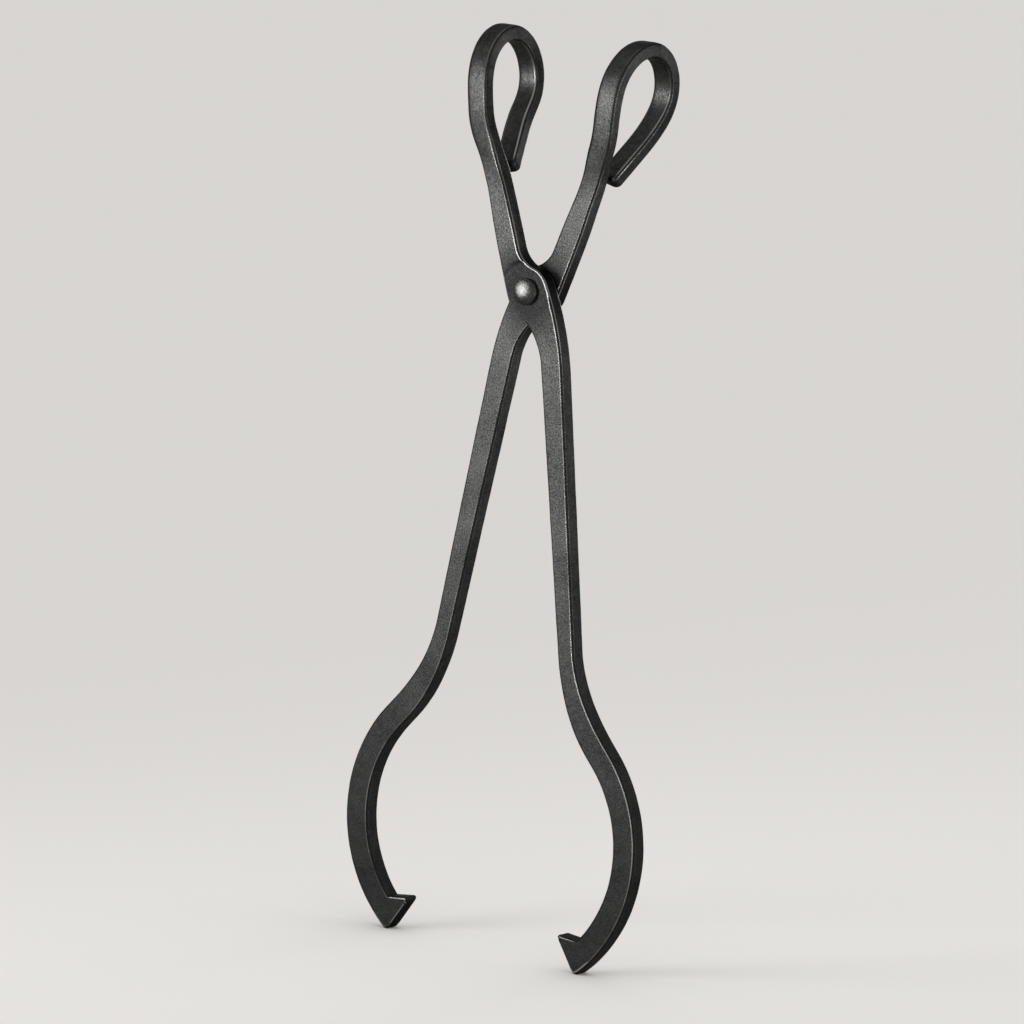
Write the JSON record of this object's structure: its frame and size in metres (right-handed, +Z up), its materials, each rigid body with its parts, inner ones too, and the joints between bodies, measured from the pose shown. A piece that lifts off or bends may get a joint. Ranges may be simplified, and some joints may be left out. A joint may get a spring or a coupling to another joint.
{
  "type": "fireplace tongs",
  "caption": "Scissor-action fireplace tongs of forged blackened bar, crossed on a domed rivet, with curled-back loop handles and curved jaws ending in inward barbs.",
  "frame": {"origin": "on the ground that the barbed tips stand on, in the middle of the tongs' width and depth", "axes": "+X to the right across the jaws, +Y to the back, the way the handle loops curl, +Z up from the jaws to the handles"},
  "size_m": [0.2198, 0.081, 0.5612],
  "materials": {
    "blackened_steel": "satin",
    "worn_steel": "satin"
  },
  "bodies": {
    "front": {"front_arm": "blackened_steel", "pivot_rivet": "worn_steel"},
    "rear": {"rear_arm": "blackened_steel"}
  },
  "joints": [
    {"name": "pivot_hinge", "type": "hinge", "parent": "front", "child": "rear", "pos_m": [0, -0.0203, 0.40576], "axis": [0, 1, 0], "range_deg": [-17, 35]}
  ]
}
